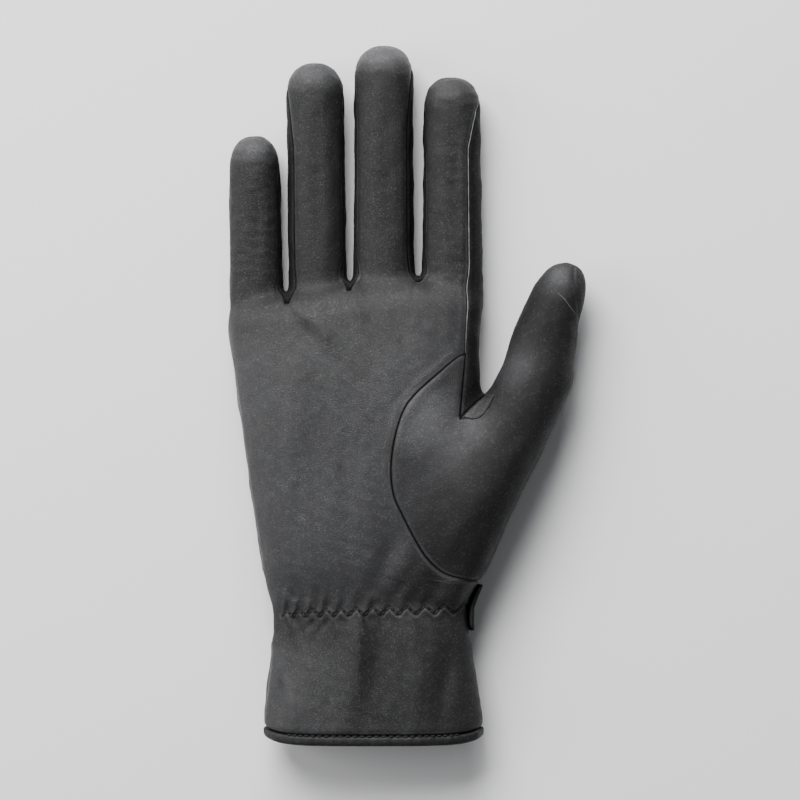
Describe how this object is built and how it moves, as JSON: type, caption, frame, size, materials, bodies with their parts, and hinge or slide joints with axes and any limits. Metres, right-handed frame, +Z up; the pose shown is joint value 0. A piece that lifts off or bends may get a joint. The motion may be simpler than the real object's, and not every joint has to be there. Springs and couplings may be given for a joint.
{
  "type": "horse riding glove",
  "caption": "Right-hand leather riding glove with separate fingers, curved thumb seam, gathered wrist and bound cuff, open and hollow inside.",
  "frame": {"origin": "middle of the glove's bounding box, on the surface that it lies on", "axes": "+X to the thumb side, +Y from the cuff to the fingertips, +Z up out of the palm"},
  "size_m": [0.1228, 0.24, 0.0283],
  "materials": {
    "palm_leather": "smooth fine-grained black leather, satin",
    "back_leather": "smooth fine-grained black leather, satin",
    "strip_leather": "fine-grained black leather, matt, darker side strips",
    "thumb_leather": "pebbled black leather, satin",
    "binding_leather": "rolled black leather edge, satin",
    "strap_leather": "plain black strap, matt"
  },
  "bodies": {
    "root": {"palm_panel": "palm_leather", "back_panel": "back_leather", "thumb": "thumb_leather", "index_side_strip": "strip_leather", "hem_binding": "binding_leather", "wrist_tab": "strap_leather", "fourchette_little_ring": "strip_leather", "fourchette_ring_middle": "strip_leather", "fourchette_middle_index": "strip_leather"}
  },
  "joints": []
}
